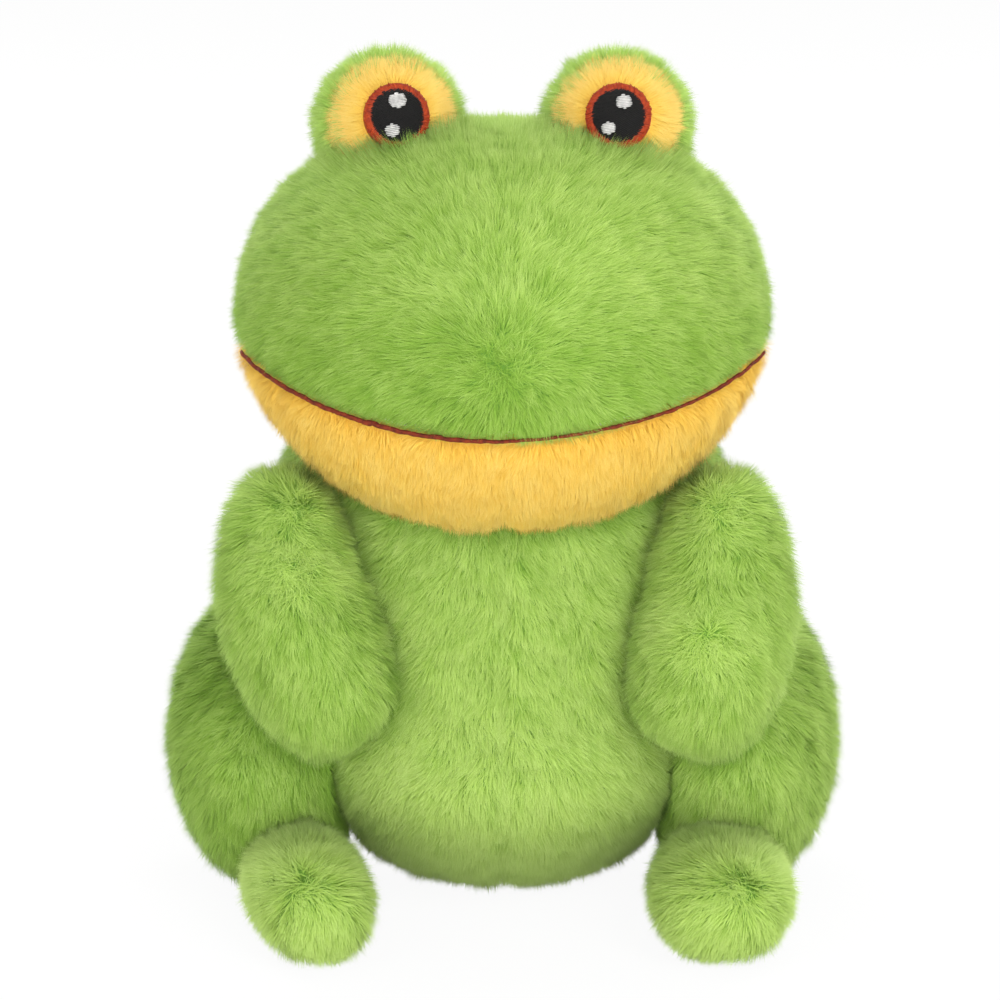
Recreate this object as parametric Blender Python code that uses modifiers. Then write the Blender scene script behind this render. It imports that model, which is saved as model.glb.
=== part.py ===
"""A seated plush frog: sewn fur-fabric covers over stuffing, with embroidered eyes and mouth line.

The frog faces -Y and sits on Z = 0. Its own left side is +X. All sizes are in metres.
"""

import math

import bmesh
import bpy
from mathutils import Euler, Matrix, Vector

# Cloth and gaps
FABRIC = 0.003
SEAM_GAP = 0.0003
STUFFING_GAP = 0.0004
SEWN_GAP = 0.0006
PAW_PLAY = 0.0015
FLAT_DEPTH = 0.0005
CUT_REACH = 1.0

# Torso, an upright egg that leans back at the top
TORSO_Y = 0.01935
TORSO_HALF_WIDTH = 0.058
TORSO_HALF_DEPTH = 0.048
TORSO_WAIST_Z = 0.066
TORSO_RISE = 0.079
TORSO_LEAN = 0.010
TORSO_JUT = 0.014
TORSO_SHOULDER_SHARE = 1.27
TORSO_BLUNT_TOP = 0.72
TORSO_BLUNT_BOTTOM = 0.76
SIDE_SEAM_BACK = 0.006
POUCH_TOP_Z = 0.022

# Head, a wide egg, and the neck that it turns on
HEAD_FORWARD = 0.012
HEAD_SEAT = 0.0155
HEAD_Z = TORSO_WAIST_Z + TORSO_RISE + HEAD_SEAT
HEAD_HALF_WIDTH = 0.0705
HEAD_HALF_DEPTH = 0.054
HEAD_RISE = 0.0475
HEAD_DROP = 0.0520
HEAD_LEAN = 0.004
HEAD_BLUNT_TOP = 0.68
JAW_FORWARD = 0.015
NECK_RADIUS = 0.024
NECK_STAND = 0.002
NECK_BACK = 0.006
HEAD_PLAY = 0.0035
MOUTH_CORNER_BACK = 0.014
MOUTH_DROP = 0.0163
MOUTH_SLOPE_DEG = 5.7
MOUTH_SMILE = 0.0116
MOUTH_HALF_ANGLE_DEG = 74.0
MOUTH_BENDS = 16
MOUTH_THREAD_RADIUS = 0.0007

# Eye mounds and their embroidery
EYE_SPREAD_SHARE = 0.434
EYE_BACK = 0.0062
EYE_STAND = 0.0026
EYE_RADIUS = 0.0184
EYE_LOOK_UP_DEG = 17.0
EYE_TURN_RIGHT_DEG = 9.0
EYE_TURN_LEFT_DEG = 0.0
PATCH_FRONT = 0.0085
IRIS_RADIUS = 0.0086
IRIS_STITCH_WIDTH = 0.0019
EMBROIDERY_STAND = 0.0022
EMBROIDERY_GAP = 0.0004
GLINT_THICKNESS = 0.0006
GLINT_RADIUS = 0.0021
GLINT_UPPER_DEG = 11.0
GLINT_LOWER_DEG = 12.8
GLINT_LOWER_ROLL_DEG = 200.0
GLINT_ROLL_RIGHT_DEG = 2.0
GLINT_ROLL_LEFT_DEG = 20.0

# Places beside the torso: out from its side, forward of its middle and up from the ground
# Arms, the paw given for each side because the photographed arms lean unequally
ARM_TOP = (-0.0005, 0.030, 0.1205)
ARM_BEND = (0.0050, 0.041, 0.0850)
ARM_PAW_RIGHT = (-0.0200, 0.050, 0.0540)
ARM_PAW_LEFT = (-0.0110, 0.050, 0.0515)
ARM_SHOULDER_RADIUS = 0.0160
ARM_PAW_RADIUS = 0.0220
ARM_BLUNT_SHARE = 0.62

# Legs, folded beside the torso, with the feet in front
LEG_OUT = 0.0050
LEG_FORWARD = 0.005
LEG_Z = 0.0410
LEG_HALF_WIDTH = 0.0270
LEG_HALF_LENGTH = 0.041
LEG_RISE = 0.0380
LEG_LEAN = 0.012
# Foot places: out from the torso's side, forward of the leg's front and up from the ground
FOOT_HEEL = (0.0000, -0.018, 0.0130)
FOOT_ARCH_RIGHT = (-0.0050, 0.013, 0.0145)
FOOT_ARCH_LEFT = (0.0010, 0.013, 0.0145)
FOOT_TIP_RIGHT = (-0.0125, 0.042, 0.0115)
FOOT_TIP_LEFT = (-0.0010, 0.042, 0.0115)
FOOT_WIDTH_RIGHT = 0.0155
FOOT_WIDTH_LEFT = 0.0185
FOOT_HALF_HEIGHT = 0.0140
FOOT_BLUNT_SHARE = 0.62
FOOT_HEEL_SHARE = 0.9

# Joint axes
SHOULDER_PIVOT = (-0.0040, 0.030, 0.1120)
HIP_PIVOT = (-0.0080, -0.038, LEG_Z)

# Facets round and along each form, for what shows and for what is inside
HEAD_FACETS = (36, 18)
TORSO_FACETS = (32, 16)
ARM_FACETS = (16, 10)
LEG_FACETS = (18, 12)
FOOT_FACETS = (14, 8)
EYE_FACETS = (16, 10)
INNER_FACETS = (14, 8)
SMALL_INNER_FACETS = (10, 6)
EYE_STEPS = 18
GLINT_STEPS = 8
MOUTH_POINTS = 21
MOUTH_SEARCH_STEPS = 40
NECK_SIDES = 24
SHARP_DEG = 40
MERGE = 0.0001
ORIGIN = (0, 0, 0)

GREEN = "#93BD52"
YELLOW = "#F2CB62"
IRIS_RED = "#A63A1C"
PUPIL_BLACK = "#14110D"
GLINT_GREY = "#D9D6D3"
MOUTH_BROWN = "#7A3212"
STUFFING_WHITE = "#F1EFE8"
POUCH_CREAM = "#D8CDB4"


def linear(hex_colour):
    """An sRGB hex colour as linear red, green, blue and alpha."""
    values = []
    for start in (1, 3, 5):
        value = int(hex_colour[start : start + 2], 16) / 255
        values.append(value / 12.92 if value <= 0.04045 else ((value + 0.055) / 1.055) ** 2.4)
    return (*values, 1.0)


def material(name, hex_colour, roughness):
    made = bpy.data.materials.new(name)
    made.use_nodes = True
    shader = made.node_tree.nodes["Principled BSDF"]
    shader.inputs["Base Color"].default_value = linear(hex_colour)
    shader.inputs["Roughness"].default_value = roughness
    shader.inputs["Metallic"].default_value = 0.0
    made.diffuse_color = linear(hex_colour)
    return made


def beside(place, side):
    """A place beside the torso, on the side +1 (left) or -1 (right)."""
    out, forward, up = place
    return Vector((side * (TORSO_HALF_WIDTH + out), TORSO_Y - forward, up))


def before_leg(place, side):
    out, forward, up = place
    return beside((out, LEG_FORWARD + LEG_HALF_LENGTH + forward, up), side)


class Egg:
    """A ball that swells: its top leans back, its bottom juts forward, and its sides are blunter.

    A tucked one juts forward halfway down and comes back under itself.
    """

    def __init__(self, centre, half_width, half_depth, rise, drop, facets, inner_facets,
                 lean=0.0, jut=0.0, top_share=1.0, blunt_top=1.0, blunt_bottom=1.0, tucked=False):
        self.centre = Vector(centre)
        self.half_width = half_width
        self.half_depth = half_depth
        self.rise = rise
        self.drop = drop
        self.facets = facets
        self.inner_facets = inner_facets
        self.lean = lean
        self.jut = jut
        self.top_share = top_share
        self.blunt_top = blunt_top
        self.blunt_bottom = blunt_bottom
        self.tucked = tucked

    def point(self, unit, grow):
        """Where a point of the unit ball lies, with the egg grown by a length."""
        upper = unit.z > 0
        ring = math.hypot(unit.x, unit.y)
        blunt = self.blunt_top if upper else self.blunt_bottom
        swell = ring ** (blunt - 1) if ring > 0 else 0.0
        widen = 1 + (self.top_share - 1) * math.sin(math.pi / 2 * unit.z) if upper else 1.0
        half_height = (self.rise if upper else self.drop) + grow
        back = (self.lean if upper else self.jut) * unit.z
        if self.tucked and not upper:
            front_share = (1 - unit.y) / 2
            back = self.jut * front_share * (math.cos(2 * math.pi * unit.z) - 1) / 2
        return self.centre + Vector((
            (self.half_width + grow) * unit.x * swell * widen,
            (self.half_depth + grow) * unit.y * swell + back,
            half_height * unit.z,
        ))


class Limb:
    """A ball drawn out along a bent spine, from one radius to another."""

    def __init__(self, spine, start_radius, end_radius, facets, inner_facets,
                 height_share=1.0, blunt_share=1.0):
        self.spine = [Vector(p) for p in spine]
        self.start_radius = start_radius
        self.end_radius = end_radius
        self.facets = facets
        self.inner_facets = inner_facets
        self.height_share = height_share
        self.blunt_share = blunt_share

    def point(self, unit, grow):
        start, bend, end = self.spine
        share = (1 - unit.z) / 2
        middle = start * (1 - share) ** 2 + bend * (2 * share * (1 - share)) + end * share**2
        along = ((bend - start) * (1 - share) + (end - bend) * share).normalized()
        across = Vector((1, 0, 0)) - along * along.x
        across.normalize()
        upright = along.cross(across)
        ring = math.hypot(unit.x, unit.y)
        swell = ring ** (self.blunt_share - 1) if ring > 0 else 0.0
        radius = self.start_radius * (1 - share) + self.end_radius * share
        return (
            middle
            - along * (grow * unit.z)
            + across * ((radius + grow) * swell * unit.x)
            + upright * ((radius * self.height_share + grow) * swell * unit.y)
        )


def form_mesh(name, form, grow, inner):
    """A unit ball whose points are moved to the form's surface."""
    around, along = form.inner_facets if inner else form.facets
    made = bmesh.new()
    bmesh.ops.create_uvsphere(made, u_segments=around, v_segments=along, radius=1)
    for vertex in made.verts:
        vertex.co = form.point(vertex.co.copy(), grow)
    bmesh.ops.recalc_face_normals(made, faces=made.faces)
    bmesh.ops.triangulate(made, faces=made.faces)
    mesh = bpy.data.meshes.new(name)
    made.to_mesh(mesh)
    made.free()
    return mesh


def put(name, mesh, collection, parent=None):
    """An object in a collection, kept where its mesh is when it gets a parent."""
    made = bpy.data.objects.new(name, mesh)
    collection.objects.link(made)
    if parent:
        made.parent = parent
        made.matrix_parent_inverse = Matrix.Translation(parent.location).inverted()
    return made


def helper(name, mesh):
    made = put(name, mesh, cutters)
    made.hide_render = True
    made.display_type = "WIRE"
    return made


def boolean(obj, other, operation="DIFFERENCE"):
    step = obj.modifiers.new(f"{operation.lower()} {other.name}", "BOOLEAN")
    step.operation = operation
    step.object = other
    step.solver = "EXACT"


def helper_form(name, form, grow, inner=True, cut_by=()):
    made = helper(name, form_mesh(name, form, grow, inner))
    for other in cut_by:
        boolean(made, other)
    return made


def half_space(name, face_point, outward):
    """A large cube behind a plane: its face passes the point, and its outside is outward."""
    made = bmesh.new()
    turn = Vector(outward).to_track_quat("Z", "Y").to_matrix().to_4x4()
    down = Matrix.Translation((0, 0, -CUT_REACH / 2))
    bmesh.ops.create_cube(made, size=CUT_REACH, matrix=Matrix.Translation(face_point) @ turn @ down)
    mesh = bpy.data.meshes.new(name)
    made.to_mesh(mesh)
    made.free()
    return helper(name, mesh)


def node(name, mesh, finish, parent, cut_by=(), join=None):
    """One sub-part: its mesh, its cuts in order and its material."""
    made = put(name, mesh, parts, parent)
    if join:
        boolean(made, join, "UNION")
    for other in cut_by:
        boolean(made, other)
    made.data.materials.append(finish)
    made.data.shade_smooth()
    made.data.set_sharp_from_angle(angle=math.radians(SHARP_DEG))
    return made


def pivot(name, place):
    made = bpy.data.objects.new(name, None)
    parts.objects.link(made)
    made.location = place
    made.empty_display_size = FABRIC
    return made


def turned(name, profile, steps, closed):
    """A profile of (radius, height) points turned about Z by a Screw, as a plain mesh."""
    made = bmesh.new()
    dots = [made.verts.new((radius, 0, height)) for radius, height in profile]
    pairs = list(zip(dots, dots[1:]))
    if closed:
        pairs.append((dots[-1], dots[0]))
    for a, b in pairs:
        made.edges.new((a, b))
    mesh = bpy.data.meshes.new(name)
    made.to_mesh(mesh)
    made.free()
    guide = bpy.data.objects.new(name + " profile", mesh)
    cutters.objects.link(guide)
    screw = guide.modifiers.new("turn", "SCREW")
    screw.steps = steps
    screw.render_steps = steps
    screw.use_merge_vertices = True
    screw.merge_threshold = MERGE
    bpy.context.view_layer.update()
    solid = bpy.data.meshes.new_from_object(guide.evaluated_get(bpy.context.evaluated_depsgraph_get()))
    bpy.data.objects.remove(guide)
    tidy = bmesh.new()
    tidy.from_mesh(solid)
    bmesh.ops.recalc_face_normals(tidy, faces=tidy.faces)
    tidy.to_mesh(solid)
    tidy.free()
    solid.name = name
    return solid


def covers(name, form, sides, finish, parent, cut_outer, cut_hollow, join=None):
    """A form's fabric as panels: each side is a name and the half spaces that it loses."""
    hollow = helper_form(name + "_hollow", form, -FABRIC, cut_by=cut_hollow)
    for side_name, lost in sides:
        mesh = form_mesh(f"{name}_{side_name}", form, 0.0, False)
        node(f"{name}_{side_name}", mesh, finish, parent, [*cut_outer, hollow, *lost], join)


def stuffing(name, form, parent, cut_by):
    mesh = form_mesh(name, form, -FABRIC - STUFFING_GAP, True)
    node(name, mesh, wadding, parent, cut_by)


def seam_pair(name, face_point, outward):
    """Two cutters at a seam: the first leaves the side that outward points to, the second the rest."""
    point = Vector(face_point)
    normal = Vector(outward).normalized()
    step = normal * (SEAM_GAP / 2)
    return (
        half_space(name + "_fore", point + step, normal),
        half_space(name + "_aft", point - step, -normal),
    )


for old in list(bpy.data.objects):
    bpy.data.objects.remove(old)
parts = bpy.data.collections.new("plush frog")
cutters = bpy.data.collections.new("cutters")
bpy.context.scene.collection.children.link(parts)
bpy.context.scene.collection.children.link(cutters)

plush_green = material("green long-pile plush", GREEN, 0.95)
plush_yellow = material("yellow long-pile plush", YELLOW, 0.95)
red_thread = material("red embroidery thread", IRIS_RED, 0.55)
black_thread = material("black embroidery thread", PUPIL_BLACK, 0.45)
grey_thread = material("pale grey embroidery thread", GLINT_GREY, 0.5)
brown_thread = material("brown embroidery thread", MOUTH_BROWN, 0.6)
wadding = material("polyester stuffing", STUFFING_WHITE, 1.0)
pouch_cloth = material("pellet pouch cloth", POUCH_CREAM, 0.9)

torso = Egg((0, TORSO_Y, TORSO_WAIST_Z), TORSO_HALF_WIDTH, TORSO_HALF_DEPTH, TORSO_RISE,
            TORSO_WAIST_Z + FLAT_DEPTH, TORSO_FACETS, INNER_FACETS, TORSO_LEAN, TORSO_JUT,
            TORSO_SHOULDER_SHARE, TORSO_BLUNT_TOP, TORSO_BLUNT_BOTTOM, True)
head = Egg((0, TORSO_Y - HEAD_FORWARD, HEAD_Z), HEAD_HALF_WIDTH, HEAD_HALF_DEPTH, HEAD_RISE,
           HEAD_DROP, HEAD_FACETS, INNER_FACETS, HEAD_LEAN, JAW_FORWARD, 1.0, HEAD_BLUNT_TOP)
ground = half_space("ground", ORIGIN, (0, 0, 1))
inner_ground = half_space("inner_ground", (0, 0, FABRIC), (0, 0, 1))
stuffing_ground = half_space("stuffing_ground", (0, 0, FABRIC + STUFFING_GAP), (0, 0, 1))
centre_seam = seam_pair("centre_seam", ORIGIN, (1, 0, 0))
side_seam = seam_pair("side_seam", (0, TORSO_Y + SIDE_SEAM_BACK, 0), (0, -1, 0))


def neck_mesh(name, grow):
    """The neck as an upright cylinder about the axis that the head turns on."""
    top = TORSO_WAIST_Z + TORSO_RISE + HEAD_PLAY + NECK_STAND + grow
    made = bmesh.new()
    middle = Matrix.Translation((0, TORSO_Y + NECK_BACK, (top + TORSO_WAIST_Z) / 2))
    bmesh.ops.create_cone(made, cap_ends=True, segments=NECK_SIDES, radius1=NECK_RADIUS + grow,
                          radius2=NECK_RADIUS + grow, depth=top - TORSO_WAIST_Z, matrix=middle)
    mesh = bpy.data.meshes.new(name)
    made.to_mesh(mesh)
    made.free()
    return mesh


def make_torso():
    root = pivot("torso_origin", (0, TORSO_Y, 0))
    neck = helper("neck", neck_mesh("neck", 0.0))
    sides = [
        ("front_left", (centre_seam[0], side_seam[0])),
        ("front_right", (centre_seam[1], side_seam[0])),
        ("back_left", (centre_seam[0], side_seam[1])),
        ("back_right", (centre_seam[1], side_seam[1])),
    ]
    covers("torso_cover", torso, sides, plush_green, root, [ground], [inner_ground], neck)
    above_pouch = half_space("above_pouch", (0, 0, POUCH_TOP_Z + STUFFING_GAP), (0, 0, 1))
    over_pouch = half_space("over_pouch", (0, 0, POUCH_TOP_Z), (0, 0, -1))
    stuffing("torso_stuffing", torso, root, [above_pouch])
    pouch = form_mesh("pellet_pouch", torso, -FABRIC - STUFFING_GAP, True)
    node("pellet_pouch", pouch, pouch_cloth, root, [stuffing_ground, over_pouch])


def mouth_height(x, y):
    """How high the mouth seam runs: it slopes up to the back and smiles up to the sides."""
    slope = math.tan(math.radians(MOUTH_SLOPE_DEG))
    return HEAD_Z - MOUTH_DROP + slope * (y - head.centre.y) + MOUTH_SMILE * (x / HEAD_HALF_WIDTH) ** 2


def mouth_point(angle, grow):
    """The mouth seam's point on the head at an angle from straight ahead."""
    low, high = -1.0, 1.0
    for _ in range(MOUTH_SEARCH_STEPS):
        height = (low + high) / 2
        ring = math.sqrt(1 - height**2)
        place = head.point(Vector((ring * math.sin(angle), -ring * math.cos(angle), height)), grow)
        if place.z > mouth_height(place.x, place.y):
            high = height
        else:
            low = height
    return place


def mouth_wedge(name, grow):
    """The space of the chin: a block under the mouth seam and in front of its corners."""
    back_y = head.centre.y + MOUTH_CORNER_BACK + grow
    half_width = HEAD_HALF_WIDTH + HEAD_HALF_DEPTH
    half_length = HEAD_HALF_DEPTH * 2
    made = bmesh.new()
    bmesh.ops.create_grid(made, x_segments=MOUTH_BENDS, y_segments=1, size=1)
    for vertex in made.verts:
        vertex.co.x *= half_width
        vertex.co.y = back_y + (vertex.co.y - 1) * half_length
        vertex.co.z = mouth_height(vertex.co.x, vertex.co.y) + grow
    low = bmesh.ops.extrude_face_region(made, geom=made.faces[:])["geom"]
    for vertex in low:
        if isinstance(vertex, bmesh.types.BMVert):
            vertex.co.z = 0
    bmesh.ops.recalc_face_normals(made, faces=made.faces)
    mesh = bpy.data.meshes.new(name)
    made.to_mesh(mesh)
    made.free()
    return helper(name, mesh)


def torso_room(name, grow, inner):
    """What the head leaves free round the torso and its neck."""
    made = helper_form(name, torso, HEAD_PLAY + grow, inner)
    neck = helper(name + "_neck", neck_mesh(name + "_neck", SEWN_GAP + grow))
    return [made, neck]


def make_head():
    turn = pivot("head_turn", (0, TORSO_Y + NECK_BACK, TORSO_WAIST_Z + TORSO_RISE))
    outer = torso_room("head_underside", 0.0, False)
    hollow = helper_form("head_hollow", head, -FABRIC,
                         cut_by=torso_room("head_hollow_underside", FABRIC, True))
    chin_space = mouth_wedge("chin_space", 0.0)
    upper_space = mouth_wedge("upper_space", SEAM_GAP)
    for side, lost in (("left", centre_seam[0]), ("right", centre_seam[1])):
        name = "head_cover_" + side
        node(name, form_mesh(name, head, 0.0, False), plush_green, turn,
             [*outer, hollow, lost, upper_space])
        name = "chin_cover_" + side
        chin = node(name, form_mesh(name, head, 0.0, False), plush_yellow, turn,
                    [*outer, hollow, lost])
        boolean(chin, chin_space, "INTERSECT")
    stuffing("head_stuffing", head, turn,
             torso_room("head_stuffing_underside", FABRIC + STUFFING_GAP, True))
    make_mouth_line(turn)
    for side, side_name in ((1, "left"), (-1, "right")):
        make_eye(side, side_name, turn)


def make_mouth_line(parent):
    """The embroidered mouth line, a thread laid along the seam."""
    curve = bpy.data.curves.new("mouth_line", "CURVE")
    curve.dimensions = "3D"
    curve.bevel_depth = MOUTH_THREAD_RADIUS
    curve.bevel_resolution = 1
    curve.use_fill_caps = True
    spline = curve.splines.new("POLY")
    spline.points.add(MOUTH_POINTS - 1)
    half_angle = math.radians(MOUTH_HALF_ANGLE_DEG)
    for index, point in enumerate(spline.points):
        angle = half_angle * (2 * index / (MOUTH_POINTS - 1) - 1)
        place = mouth_point(angle, MOUTH_THREAD_RADIUS + STUFFING_GAP)
        point.co = (*place, 1)
    curve.materials.append(brown_thread)
    put("mouth_line", curve, parts, parent)


def cap_profile(inner_radius, outer_radius, rim_from, rim_to, points):
    """The section of a disc or ring that follows a ball, between two distances from its axis."""
    outer, inner = [], []
    for index in range(points):
        rim = rim_from + (rim_to - rim_from) * index / (points - 1)
        outer.append((rim, math.sqrt(outer_radius**2 - rim**2)))
        inner.append((rim, math.sqrt(inner_radius**2 - rim**2)))
    return outer + inner[::-1]


def laid_on_ball(name, profile, closed, steps, finish, parent, centre, facing):
    """A turned piece placed on the eye mound, its own Z along the way that it faces."""
    made = node(name, turned(name, profile, steps, closed), finish, None)
    made.parent = parent
    made.matrix_parent_inverse = Matrix.Translation(parent.location).inverted()
    made.location = centre
    made.rotation_euler = facing.to_track_quat("Z", "Y").to_euler()
    return made


def make_eye(side, side_name, parent):
    centre = Vector((side * EYE_SPREAD_SHARE * HEAD_HALF_WIDTH, head.centre.y + EYE_BACK,
                     HEAD_Z + HEAD_RISE + EYE_STAND))
    ball = Egg(centre, EYE_RADIUS, EYE_RADIUS, EYE_RADIUS, EYE_RADIUS, EYE_FACETS,
               SMALL_INNER_FACETS)
    turn_deg, roll_deg = (
        (EYE_TURN_LEFT_DEG, GLINT_ROLL_LEFT_DEG) if side > 0 else
        (EYE_TURN_RIGHT_DEG, GLINT_ROLL_RIGHT_DEG)
    )
    facing = Vector((0, -1, 0))
    facing.rotate(Euler((-math.radians(EYE_LOOK_UP_DEG), 0, math.radians(turn_deg))))
    head_room = helper_form(f"eye_{side_name}_head_room", head, SEWN_GAP, False)
    patch_seam = seam_pair(f"eye_{side_name}_patch_seam", centre + facing * PATCH_FRONT, facing)
    hollow = helper_form(f"eye_{side_name}_hollow", ball, -FABRIC)
    for part_name, finish, lost in (
        ("eye_patch_", plush_yellow, patch_seam[0]),
        ("eye_mound_", plush_green, patch_seam[1]),
    ):
        name = part_name + side_name
        node(name, form_mesh(name, ball, 0.0, False), finish, parent, [head_room, hollow, lost])
    stuffing("eye_stuffing_" + side_name, ball, parent, [head_room])

    base = EYE_RADIUS + EMBROIDERY_GAP
    face = base + EMBROIDERY_STAND
    pupil_radius = IRIS_RADIUS - IRIS_STITCH_WIDTH
    ring = cap_profile(base, face, pupil_radius + SEAM_GAP, IRIS_RADIUS, 2)
    laid_on_ball("iris_ring_" + side_name, ring, True, EYE_STEPS, red_thread, parent, centre, facing)
    disc = cap_profile(base, face, 0.0, pupil_radius, 3)
    laid_on_ball("pupil_" + side_name, disc, False, EYE_STEPS, black_thread, parent, centre, facing)
    glint_base = face + SEAM_GAP
    glint = cap_profile(glint_base, glint_base + GLINT_THICKNESS, 0.0, GLINT_RADIUS, 2)
    for glint_name, away_deg, around_deg in (
        ("glint_upper_", GLINT_UPPER_DEG, roll_deg),
        ("glint_lower_", GLINT_LOWER_DEG, roll_deg + GLINT_LOWER_ROLL_DEG),
    ):
        aim = Vector((0, 0, 1))
        aim.rotate(Euler((-math.radians(away_deg), 0, -math.radians(around_deg))))
        aim.rotate(facing.to_track_quat("Z", "Y"))
        laid_on_ball(glint_name + side_name, glint, False, GLINT_STEPS, grey_thread, parent,
                     centre, aim)


def leg_form(side):
    return Egg(beside((LEG_OUT, LEG_FORWARD, LEG_Z), side), LEG_HALF_WIDTH, LEG_HALF_LENGTH,
               LEG_RISE, LEG_Z + FLAT_DEPTH, LEG_FACETS, SMALL_INNER_FACETS, LEG_LEAN)


def make_leg(side, side_name):
    hip = pivot("hip_" + side_name, beside(HIP_PIVOT, side))
    leg = leg_form(side)
    torso_at = [
        helper_form(f"leg_{side_name}_torso_{index}", torso, SEWN_GAP + extra, index > 0)
        for index, extra in enumerate((0.0, FABRIC, FABRIC + STUFFING_GAP))
    ]
    split = seam_pair(f"leg_{side_name}_seam", beside((LEG_OUT, 0, 0), side), (side, 0, 0))
    covers("leg_cover_" + side_name, leg, (("outer", (split[0],)), ("inner", (split[1],))),
           plush_green, hip, [torso_at[0], ground], [torso_at[1], inner_ground])
    stuffing("leg_stuffing_" + side_name, leg, hip, [torso_at[2], stuffing_ground])

    arch = FOOT_ARCH_LEFT if side > 0 else FOOT_ARCH_RIGHT
    tip = FOOT_TIP_LEFT if side > 0 else FOOT_TIP_RIGHT
    half_width = FOOT_WIDTH_LEFT if side > 0 else FOOT_WIDTH_RIGHT
    foot = Limb([before_leg(p, side) for p in (FOOT_HEEL, arch, tip)],
                half_width * FOOT_HEEL_SHARE, half_width, FOOT_FACETS, SMALL_INNER_FACETS,
                FOOT_HALF_HEIGHT / half_width, FOOT_BLUNT_SHARE)
    leg_room = helper_form(f"foot_{side_name}_leg_room", leg, SEWN_GAP, False)
    hollow = helper_form(f"foot_{side_name}_hollow", foot, -FABRIC, cut_by=[inner_ground])
    name = "foot_cover_" + side_name
    node(name, form_mesh(name, foot, 0.0, False), plush_green, hip, [leg_room, ground, hollow])
    stuffing("foot_stuffing_" + side_name, foot, hip, [leg_room, stuffing_ground])


def make_arm(side, side_name):
    shoulder = pivot("shoulder_" + side_name, beside(SHOULDER_PIVOT, side))
    paw = ARM_PAW_LEFT if side > 0 else ARM_PAW_RIGHT
    arm = Limb([beside(p, side) for p in (ARM_TOP, ARM_BEND, paw)], ARM_SHOULDER_RADIUS,
               ARM_PAW_RADIUS, ARM_FACETS, SMALL_INNER_FACETS, 1.0, ARM_BLUNT_SHARE)
    rooms = []
    for index, extra in enumerate((0.0, FABRIC, FABRIC + STUFFING_GAP)):
        label = f"arm_{side_name}_room_{index}"
        rooms.append([
            helper_form(label + "_torso", torso, SEWN_GAP + extra, index > 0),
            helper_form(label + "_leg", leg_form(side), PAW_PLAY + extra, index > 0),
            helper_form(label + "_head", head, SEWN_GAP + extra, index > 0),
        ])
    middle = (beside(ARM_TOP, side) + beside(paw, side)) / 2
    split = seam_pair(f"arm_{side_name}_seam", middle, (0, -1, 0))
    covers("arm_cover_" + side_name, arm, (("front", (split[0],)), ("back", (split[1],))),
           plush_green, shoulder, rooms[0], rooms[1])
    stuffing("arm_stuffing_" + side_name, arm, shoulder, rooms[2])


make_torso()
make_head()
for side_sign, side_word in ((1, "left"), (-1, "right")):
    make_arm(side_sign, side_word)
    make_leg(side_sign, side_word)
bpy.context.view_layer.update()
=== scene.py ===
"""The looks of a seated plush frog: padded backings, a pile sewn into them and stitched eyes."""

import math

import bpy
import numpy as np
from mathutils import Euler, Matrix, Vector
from mathutils.bvhtree import BVHTree


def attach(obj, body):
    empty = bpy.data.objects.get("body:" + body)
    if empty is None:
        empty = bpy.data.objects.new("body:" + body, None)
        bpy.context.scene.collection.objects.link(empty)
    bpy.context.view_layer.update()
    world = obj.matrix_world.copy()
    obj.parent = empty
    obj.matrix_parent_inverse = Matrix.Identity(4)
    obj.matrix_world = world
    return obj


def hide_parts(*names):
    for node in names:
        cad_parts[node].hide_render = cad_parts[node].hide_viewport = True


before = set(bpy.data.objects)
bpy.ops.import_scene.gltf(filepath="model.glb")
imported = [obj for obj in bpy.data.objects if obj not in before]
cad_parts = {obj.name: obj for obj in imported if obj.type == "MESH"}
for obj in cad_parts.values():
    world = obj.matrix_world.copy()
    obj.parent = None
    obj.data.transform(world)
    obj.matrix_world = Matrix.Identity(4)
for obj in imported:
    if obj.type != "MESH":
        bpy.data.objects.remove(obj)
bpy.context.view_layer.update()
MM = 0.001
random = np.random.default_rng(52)

# The forms, as the frame's maker drew them, in millimetres
TORSO_Y = 19.35
TORSO_WAIST_Z = 66.0
TORSO_RISE = 79.0
TORSO_HALF_WIDTH = 58.0
HEAD_CENTRE = (0.0, TORSO_Y - 12.0, 160.5)
HEAD_HALF_WIDTH = 70.5
MOUTH_Z = 144.2
MOUTH_SLOPE_DEG = 5.7
MOUTH_SMILE = 11.6
MOUTH_CORNER_Y = HEAD_CENTRE[1] + 14.0
EYE_SPREAD = 30.6
EYE_RADIUS = 18.4
EYE_Y = HEAD_CENTRE[1] + 6.2
EYE_Z = 210.6
LOOK_UP_DEG = 17.0
LOOK_TURN_DEG = {"left": 0.0, "right": 9.0}
PATCH_FRONT = 8.5
LIMB_BLUNT = 0.62
FOOT_HALF_HEIGHT = 14.0

# The room between pieces, in millimetres
SEWN_ROOM = 0.6
LIMB_ROOM = 0.8
PAW_ROOM = 1.6
HEAD_ROOM = 5.0
MOUTH_HALF_GAP = 0.3
PATCH_HALF_GAP = 0.15
SIDES = (("left", 1), ("right", -1))


def unit(vectors):
    """Each row scaled to length 1."""
    return vectors / np.maximum(np.linalg.norm(vectors, axis=-1, keepdims=True), 1e-12)


def smooth_step(low, high, values):
    share = np.clip((values - low) / (high - low), 0, 1)
    return share * share * (3 - 2 * share)


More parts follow.
